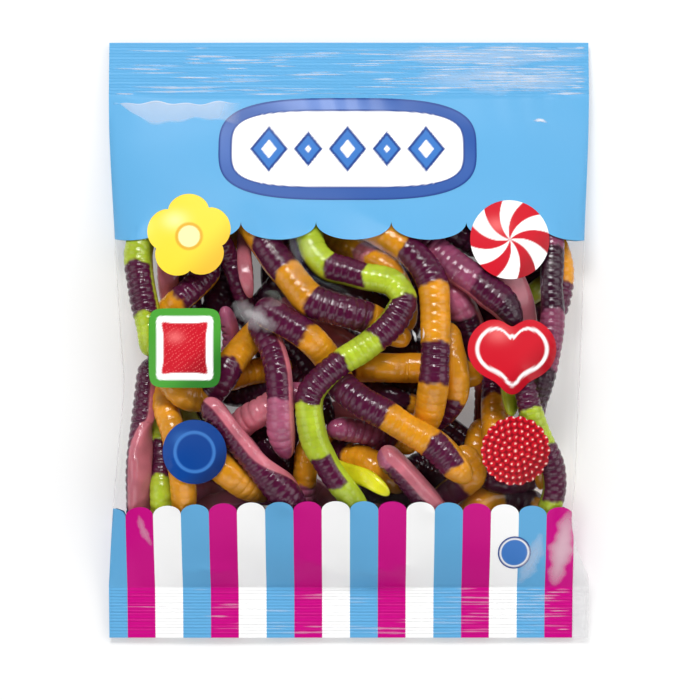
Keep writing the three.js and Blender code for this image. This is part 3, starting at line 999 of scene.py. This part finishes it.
def make_stripes(side):
    """The stripes of each colour, from their round tops to the end of the bottom seal."""
    parts = {name: [] for name in STRIPE_ORDER}
    start = FIRST_STRIPE_END - STRIPE_WIDTH
    number = 1
    while start < STRIPES_END - 1:
        end = start + STRIPE_WIDTH
        t = (1 - np.cos(np.linspace(0, math.pi, 15 if side > 0 else 6))) / 2
        x = start + t * STRIPE_WIDTH
        top = stripe_top(x, start, end)
        share = np.linspace(1, 0, 34 if side > 0 else 12)[:, None]
        body = BOTTOM_SEAL_START + (top - BOTTOM_SEAL_START)[None, :] * share
        rows = seal_rows(BOTTOM_SEAL_START, BOTTOM_END)[1:, None]
        y = np.vstack([body, np.broadcast_to(rows, (len(rows), len(x)))])[::-1]
        x = np.clip(np.broadcast_to(x, y.shape), left_edge(y) + 0.02, right_edge(y) - 0.02)
        parts[STRIPE_ORDER[number % 3]].append((x, y))
        start = end
        number += 1
    for name, patches in parts.items():
        points = []
        faces = []
        total = 0
        for x, y in patches:
            points.append(film_points(side, x, y, PRINT_LIFT))
            faces.extend(grid_faces(*x.shape, side) + total)
            total += x.size
        end_name = "front" if side > 0 else "back"
        mesh_object(f"{name}_stripes_{end_name}", np.vstack(points), faces, inks[name])


for side in (1, -1):
    make_header(side)
    make_stripes(side)


# The printed pictures. Each is one mesh that follows the film, round its own outline, and a paint
# function gives every point its tint from its place in the picture.
PICTURE_LIFT = 0.22
BEAD_SIZE = 2.9
TONES = {
    "white": colour(250, 250, 250),
    "navy": colour(30, 66, 140),
    "mid_blue": colour(60, 120, 196),
    "deep_blue": colour(8, 66, 146),
    "navy_shade": colour(6, 30, 84),
    "royal": colour(40, 84, 160),
    "steel": colour(110, 140, 205),
    "yellow": colour(250, 218, 50),
    "ochre": colour(226, 172, 30),
    "red": colour(204, 16, 38),
    "dark_red": colour(148, 8, 24),
    "pale_red": colour(244, 120, 120),
    "green": colour(74, 160, 52),
    "dark_green": colour(30, 104, 34),
    "pale_yellow": colour(255, 246, 170),
    "berry": colour(208, 10, 34),
    "berry_shade": colour(112, 4, 18),
    "glint": colour(255, 236, 222),
}


def tone(name):
    return np.array(TONES[name])


def blend(under, over, share):
    return under * (1 - share[..., None]) + over * share[..., None]


def inside(distance, softness=0.25):
    """1 where a distance in millimetres is below zero, with a short soft edge."""
    return smooth_step(-distance, -softness, softness)


def picture(name, centre, outline, paint, step=0.42):
    """A picture on the front film: an even grid stretched to outline(angle), tinted by paint(x, y)."""
    x, y = np.array(centre, float)
    centre = seen_at(x, y, ceiling(x, y))
    half_width = float(outline(np.array(0.0)))
    half_height = float(outline(np.array(math.pi / 2)))
    columns = int(2 * half_width / step) + 1
    rows = int(2 * half_height / step) + 1
    u, v = np.meshgrid(np.linspace(-1, 1, columns), np.linspace(-1, 1, rows))
    reach = outline(np.arctan2(v * half_height, u * half_width)) * np.maximum(np.abs(u), np.abs(v))
    length = np.maximum(np.hypot(u * half_width, v * half_height), 1e-9)
    x = reach * u * half_width / length
    y = reach * v * half_height / length
    shades = paint(x, y)
    paint_tints(film_patch(name, 1, centre[0] + x, centre[1] + y, picture_ink, PICTURE_LIFT), shades)


def superellipse(half_width, half_height, power):
    def outline(angle):
        wide = (np.abs(np.cos(angle)) / half_width) ** power
        tall = (np.abs(np.sin(angle)) / half_height) ** power
        return (wide + tall) ** (-1 / power)
    return outline


def petals(radius, depth, count, turn=0.0):
    def outline(angle):
        return radius * (1 - depth + depth * np.abs(np.cos(count / 2 * (angle - turn))) ** 0.7)
    return outline


def heart(radius):
    def outline(angle):
        turned = np.mod(angle - math.pi / 2 + math.pi, 2 * math.pi) - math.pi
        notch = 0.24 * np.exp(-(turned / 0.4) ** 2)
        point = 0.3 * np.exp(-((np.abs(turned) - math.pi) / 0.35) ** 2)
        return radius * (0.92 + 0.14 * np.cos(2 * turned + math.pi) - notch + point)
    return outline


def edge_distance(outline, x, y):
    """How far a point is from an outline in millimetres, negative inside."""
    def share(px, py):
        return np.hypot(px, py) / outline(np.arctan2(py, px)) - 1

    step = 0.05
    slope_x = (share(x + step, y) - share(x - step, y)) / (2 * step)
    slope_y = (share(x, y + step) - share(x, y - step)) / (2 * step)
    return share(x, y) / np.maximum(np.hypot(slope_x, slope_y), 1e-6)


def shaded(x, y, body, dark, light, size):
    """A plump look: dark at the lower right, body over most of it and a soft light at the upper left."""
    shade = smooth_step((x - y) / (1.4 * size), 0.2, 1.0)
    tint = blend(np.broadcast_to(tone(body), (*x.shape, 3)), tone(dark), shade * 0.75)
    glow = np.exp(-(((x + 0.35 * size) / (0.3 * size)) ** 2 + ((y - 0.4 * size) / (0.22 * size)) ** 2))
    return blend(tint, tone(light), glow * 0.7)


def make_plaque():
    """A plain plaque: a white field in a blue rim, with a row of diamonds on it."""
    outer = superellipse(57.5, 23.2, 3.2)

    def paint(x, y):
        depth = edge_distance(outer, x, y)
        tint = np.broadcast_to(tone("navy"), (*x.shape, 3))
        light = 0.5 + 0.5 * np.sin(x / 14 + y / 9)
        royal = np.broadcast_to(tone("royal"), tint.shape)
        rim = blend(royal, tone("steel"), light * smooth_step(y, -24, 24))
        tint = tint * (1 - inside(depth + 0.8)[..., None]) + rim * inside(depth + 0.8)[..., None]
        tint = blend(tint, tone("navy"), inside(depth + 5.2))
        tint = blend(tint, tone("white"), inside(depth + 6.0))
        for number in range(5):
            across = x - (number - 2) * 17.5
            diamond = np.abs(across) / 0.8 + np.abs(y) - (10.5 if number % 2 == 0 else 8.0)
            tint = blend(tint, tone("navy"), inside(diamond))
            tint = blend(tint, tone("mid_blue"), inside(diamond + 1.8))
            tint = blend(tint, tone("white"), inside(diamond + 6.2))
        return tint

    picture("printed_plaque", (-0.6, 85.5), outer, paint, step=0.45)


def make_pictures():
    """Six plain motifs beside the window, and a small round spot on the stripes."""
    flower = petals(19.0, 0.2, 5, 0.35)

    def yellow_flower(x, y):
        tint = shaded(x, y, "yellow", "ochre", "pale_yellow", 18)
        middle = np.hypot(x, y)
        tint = blend(tint, tone("ochre"), inside(middle - 6.2))
        return blend(tint, tone("pale_yellow"), inside(middle - 4.8))

    picture("printed_yellow_flower", (-71.5, 46.5), flower, yellow_flower)
    square = superellipse(16.0, 17.5, 7)

    def banded_square(x, y):
        depth = edge_distance(square, x, y)
        tint = shaded(x, y, "green", "dark_green", "green", 16)
        tint = blend(tint, tone("white"), inside(depth + 3.4))
        inner = shaded(x, y, "red", "dark_red", "pale_red", 12)
        sugar = smooth_step(np.sin(x * 3.1 + np.sin(y * 1.7)) * np.sin(y * 3.3 + x), 0.6, 0.9)
        inner = blend(inner, tone("pale_red"), sugar * 0.7)
        share = inside(depth + 6.6)[..., None]
        return tint * (1 - share) + inner * share

    picture("printed_banded_square", (-73.5, -3.5), square, banded_square)
    ring = superellipse(14.2, 14.2, 2)

    def blue_target(x, y):
        middle = np.hypot(x, y)
        tint = shaded(x, y, "deep_blue", "navy_shade", "mid_blue", 14)
        tint = blend(tint, tone("mid_blue"), inside(middle - 9.4))
        return blend(tint, tone("deep_blue"), inside(middle - 7.9))

    picture("printed_blue_disc", (-69.0, -50.0), ring, blue_target)
    disc = superellipse(17.6, 17.6, 2)

    def swirl(x, y):
        middle = np.hypot(x, y)
        turn = np.arctan2(y, x) + middle * 0.035
        band = smooth_step(np.cos(6 * turn) * middle / 4, -0.25, 0.25)
        red = shaded(x, y, "red", "dark_red", "pale_red", 16)
        return blend(red, tone("white"), band)

    picture("printed_swirl", (72.0, 45.0), disc, swirl)
    heart_outline = heart(18.5)

    def red_heart(x, y):
        tint = shaded(x, y, "red", "dark_red", "pale_red", 17)
        depth = edge_distance(heart_outline, x, y)
        rim = inside(depth + 3.4) - inside(depth + 5.0)
        return blend(tint, tone("white"), rim * 0.9)

    picture("printed_heart", (73.0, -4.0), heart_outline, red_heart)
    berry = petals(15.5, 0.07, 18)

    def beaded_disc(x, y):
        tint = shaded(x, y, "berry", "dark_red", "red", 14)
        ring = np.round(np.hypot(x, y) / BEAD_SIZE)
        count = np.maximum(np.round(2 * math.pi * ring), 1)
        turn = np.arctan2(y, x) / (2 * math.pi) * count + ring * 0.37
        aside = (turn - np.round(turn)) * BEAD_SIZE * np.where(ring > 0, 1, 0)
        outward = np.hypot(x, y) - ring * BEAD_SIZE
        spot = np.hypot(aside, outward) / BEAD_SIZE
        tint = blend(tint, tone("berry_shade"), smooth_step(spot, 0.34, 0.55) * 0.9)
        glint = np.hypot(aside + 0.3, outward - 0.3)
        return blend(tint, tone("glint"), smooth_step(-glint, -0.5, -0.25) * 0.9)

    picture("printed_beaded_disc", (74.5, -49.5), berry, beaded_disc)
    spot = superellipse(7.4, 7.4, 2)

    def blue_spot(x, y):
        depth = edge_distance(spot, x, y)
        tint = np.broadcast_to(tone("navy"), (*x.shape, 3))
        tint = blend(tint, tone("white"), inside(depth + 0.8))
        return blend(tint, tone("mid_blue"), inside(depth + 1.5))

    picture("printed_spot", (74.0, -95.0), spot, blue_spot)


make_plaque()
make_pictures()


# Glare: thin milky meshes over the front film, painted reflections of the lamps on it.
GLARE_LIFT = 0.3
SHEET_LIFT = 0.26
THIN = 2.0


def glare_patch(name, route, width, strength):
    """A painted reflection: a streak of glare along a route on the front film, fading to its edges and ends.
    """
    is_broad = width > THIN
    line, places, _ = smooth_line([seen_at(x, y, ceiling(x, y)) for x, y in route], 0.8 if is_broad else 1.2)
    ahead = np.gradient(line, axis=0)
    ahead /= np.linalg.norm(ahead, axis=1, keepdims=True)
    aside = np.column_stack([-ahead[:, 1], ahead[:, 0]])
    across = np.linspace(-1, 1, 13 if is_broad else 5)
    along = places / places[-1]
    ragged = 1 + 0.18 * np.sin(along * 17 + width) + 0.1 * np.sin(along * 41)
    half = width / 2 * np.sin(math.pi * np.clip(along, 0.02, 0.98)) ** 0.5 * ragged
    spots = line[:, None] + across[None, :, None] * (half[:, None] * aside)[:, None]
    x, y = spots[..., 0], spots[..., 1]
    piece = mesh_object(name, film_points(1, x, y, GLARE_LIFT), grid_faces(*x.shape, -1), glare)
    power = 2 if is_broad else 3
    to_edges = (1 - np.abs(across) ** power)[None] ** (power / 2)
    to_ends = np.sin(math.pi * along)[:, None] ** (power - 1.5)
    paint_cover(piece, strength * (to_edges * to_ends))


GLARES = [
    ([(-52, 17), (-45, 12), (-38, 8), (-32, 5)], 11.0, 0.2),
    ([(-47, 13), (-41, 10.5), (-36, 7)], 5.0, 0.24),
    ([(98.5, -76), (95.5, -92), (91.5, -110)], 11.5, 0.46),
    ([(16, 128), (60, 127), (107, 128)], 10.0, 0.22),
    ([(30, 117.5), (70, 116.5), (107, 117)], 13.0, 0.26),
    ([(86, -86), (82, -98), (76, -109)], 8.5, 0.3),
    ([(-94, -78), (-92, -85), (-88, -92)], 4.0, 0.22),
    ([(82, 98), (86, 98.3), (89, 97)], 1.6, 0.8),
    ([(28, 5), (29.5, 2), (30, -1)], 1.6, 0.7),
    ([(33, 6), (33.5, 3), (33, 0)], 1.0, 0.6),
]
for number, (route, width, strength) in enumerate(GLARES, 1):
    glare_patch(f"glare_{number}", route, width, strength)


SHEET_LEFT = -105.5
SHEET_RIGHT = -48


def make_glare_sheet():
    """A painted reflection: the broad pale glare under the top seal at the left, with an uneven lower edge.
    """
    across = np.linspace(SHEET_LEFT, SHEET_RIGHT, 90)
    top = 106.2 + 0.5 * np.sin(across / 5) - 0.5 * np.sin(across / 2.2)
    low = 97.5 + 7.5 * smooth_step(across, -88, -106) + 1.2 * np.sin(across / 6) + 0.5 * np.sin(across / 1.9)
    share = np.linspace(0, 1, 16)[:, None]
    y = low + (top - low) * share
    x = np.broadcast_to(across, y.shape)
    ends = np.clip((across - SHEET_LEFT) / 4, 0, 1) * np.clip((SHEET_RIGHT - across) / 10, 0, 1)
    fade = np.clip(share / 0.12, 0, 1) * ends * (0.25 + 0.12 * share + 0.3 * (share > 0.94))
    paint_cover(film_patch("glare_sheet", 1, x, y, glare, SHEET_LIFT), fade)


make_glare_sheet()


# Painted highlights: pale streaks where the seals' crimp ridges would mirror the lamps.
SEAL_GLINT_LENGTH = (7, 46)
SEAL_GLINT_WIDTH = (0.4, 1.25)


def make_seal_glints(name, top, rows, left, right, pale, strong):
    """Painted highlights of the lamps on a seal's crimps: broken pale streaks along its ridges, in a share
    of each row that pale(x) gives.
    """
    draw = np.random.default_rng(SEED + 2)
    points = []
    faces = []
    covers = []
    total = 0
    for row in range(rows):
        x = left + draw.uniform(0, 12)
        while x < right - 4:
            length = min(draw.uniform(*SEAL_GLINT_LENGTH), right - x)
            y = top - row * CRIMP_PITCH + draw.uniform(-0.25, 0.25)
            width = draw.uniform(*SEAL_GLINT_WIDTH)
            strength = strong * draw.uniform(0.35, 1.0)
            if draw.uniform() < pale(x + length / 2):
                along = np.linspace(0, 1, int(length / 1.1) + 3)[:, None]
                across = np.linspace(-1, 1, 5)[None]
                taper = np.sin(math.pi * np.clip(along, 0.02, 0.98)) ** 0.5
                ragged = 1 + 0.35 * np.sin(along * length / 1.7 + row) * np.sin(along * length / 4.1)
                px = x + length * along + 0 * across
                py = y + 0.2 * np.sin(px / 9 + row) - width / 2 * taper * ragged * across
                points.append(film_points(1, px, py, GLARE_LIFT))
                faces.extend(grid_faces(*px.shape, 1) + total)
                covers.append((strength * taper * (1 - across ** 2)).ravel())
                total += px.size
            x += length * draw.uniform(0.55, 1.0) + draw.uniform(0, 9)
    piece = mesh_object(name, np.vstack(points), faces, glare)
    paint_cover(piece, np.concatenate(covers))


# The painted highlights on the top seal's ridges and on the bottom seal's ridges.
make_seal_glints("top_seal_streaks", TOP_END - 2.2, 16, -106.0, 106.0,
                  lambda x: 0.45 + 0.4 * smooth_step(x, -5, 55), 0.62)
make_seal_glints("bottom_seal_streaks", BOTTOM_SEAL_START - 1.4, 15, -106.0, 99.0,
                  lambda x: 0.25 + 0.35 * smooth_step(x, 0, 80), 0.34)


BARE_LIFT = 0.12
BARE_TOP = -88.0
STRIPE_GAP = 0.4
RIM_GAP = 0.03


def make_bare_film():
    """The strip of unprinted, milky film to the right of the last stripe."""
    y = np.linspace(BOTTOM_END, BARE_TOP, 60)[:, None]
    inner = np.full_like(y, STRIPES_END + STRIPE_GAP)
    x = inner + (right_edge(y) - RIM_GAP - inner) * np.linspace(0, 1, 9)[None]
    film_patch("bare_film_edge", 1, x, np.broadcast_to(y, x.shape), bare_film, BARE_LIFT)


make_bare_film()

# Floor, lights and world.
FLOOR_DROP = 0.4
FLOOR_HALF = 4.0


def make_floor():
    """A pale floor that glows faintly, so that what shows between the snakes is light."""
    material = new_material("floor")
    shader = add(material, "BsdfPrincipled", {
        "Base Color": (0.74, 0.74, 0.74, 1),
        "Emission Color": (1, 1, 1, 1),
        "Emission Strength": 0.22,
        "Roughness": 0.7,
    })
    mesh = bpy.data.meshes.new("floor")
    corners = [(-1, -1), (1, -1), (1, 1), (-1, 1)]
    points = [(x * FLOOR_HALF, y * FLOOR_HALF, -FLOOR_DROP * MM) for x, y in corners]
    mesh.from_pydata(points, [], [(0, 1, 2, 3)])
    mesh.materials.append(finished(material, shader))
    floor = bpy.data.objects.new("floor", mesh)
    bpy.context.scene.collection.objects.link(floor)


def make_light(name, place, size, power):
    """A softbox that faces the middle of the bag. Its place and size are in metres."""
    data = bpy.data.lights.new(name, "AREA")
    data.shape = "RECTANGLE"
    data.size, data.size_y = size
    data.energy = power
    lamp = bpy.data.objects.new(name, data)
    lamp.location = place
    lamp.rotation_euler = (-Vector(place)).to_track_quat("-Z", "Y").to_euler()
    bpy.context.scene.collection.objects.link(lamp)


LIGHTS = [
    ("key_softbox", (-0.25, 1.0, 1.25), (0.5, 0.4), 12.5),
    ("strip_light", (0.3, 0.8, 1.3), (1.2, 0.1), 5.5),
    ("right_softbox", (1.15, 0.1, 0.9), (1.2, 1.0), 7.2),
    ("left_softbox", (-1.15, -0.1, 0.9), (1.2, 1.0), 4.8),
    ("front_softbox", (0.1, -1.3, 1.0), (1.8, 0.9), 7.4),
]
make_floor()
for light in LIGHTS:
    make_light(*light)


def make_world():
    """A studio that is bright round its sides and dark overhead, where the film would mirror it."""
    world = bpy.data.worlds.new("studio")
    world.use_nodes = True
    place = add(world, "TexCoord", {}).outputs["Generated"]
    height = add(world, "SeparateXYZ", {"Vector": place}).outputs["Z"]
    background = world.node_tree.nodes["Background"]
    background.inputs["Color"].default_value = (1, 1, 1, 1)
    world.node_tree.links.new(ranged(world, height, 0.55, 0.9, 0.33, 0.05), background.inputs["Strength"])
    bpy.context.scene.world = world


make_world()
bpy.context.scene.view_settings.view_transform = "Standard"
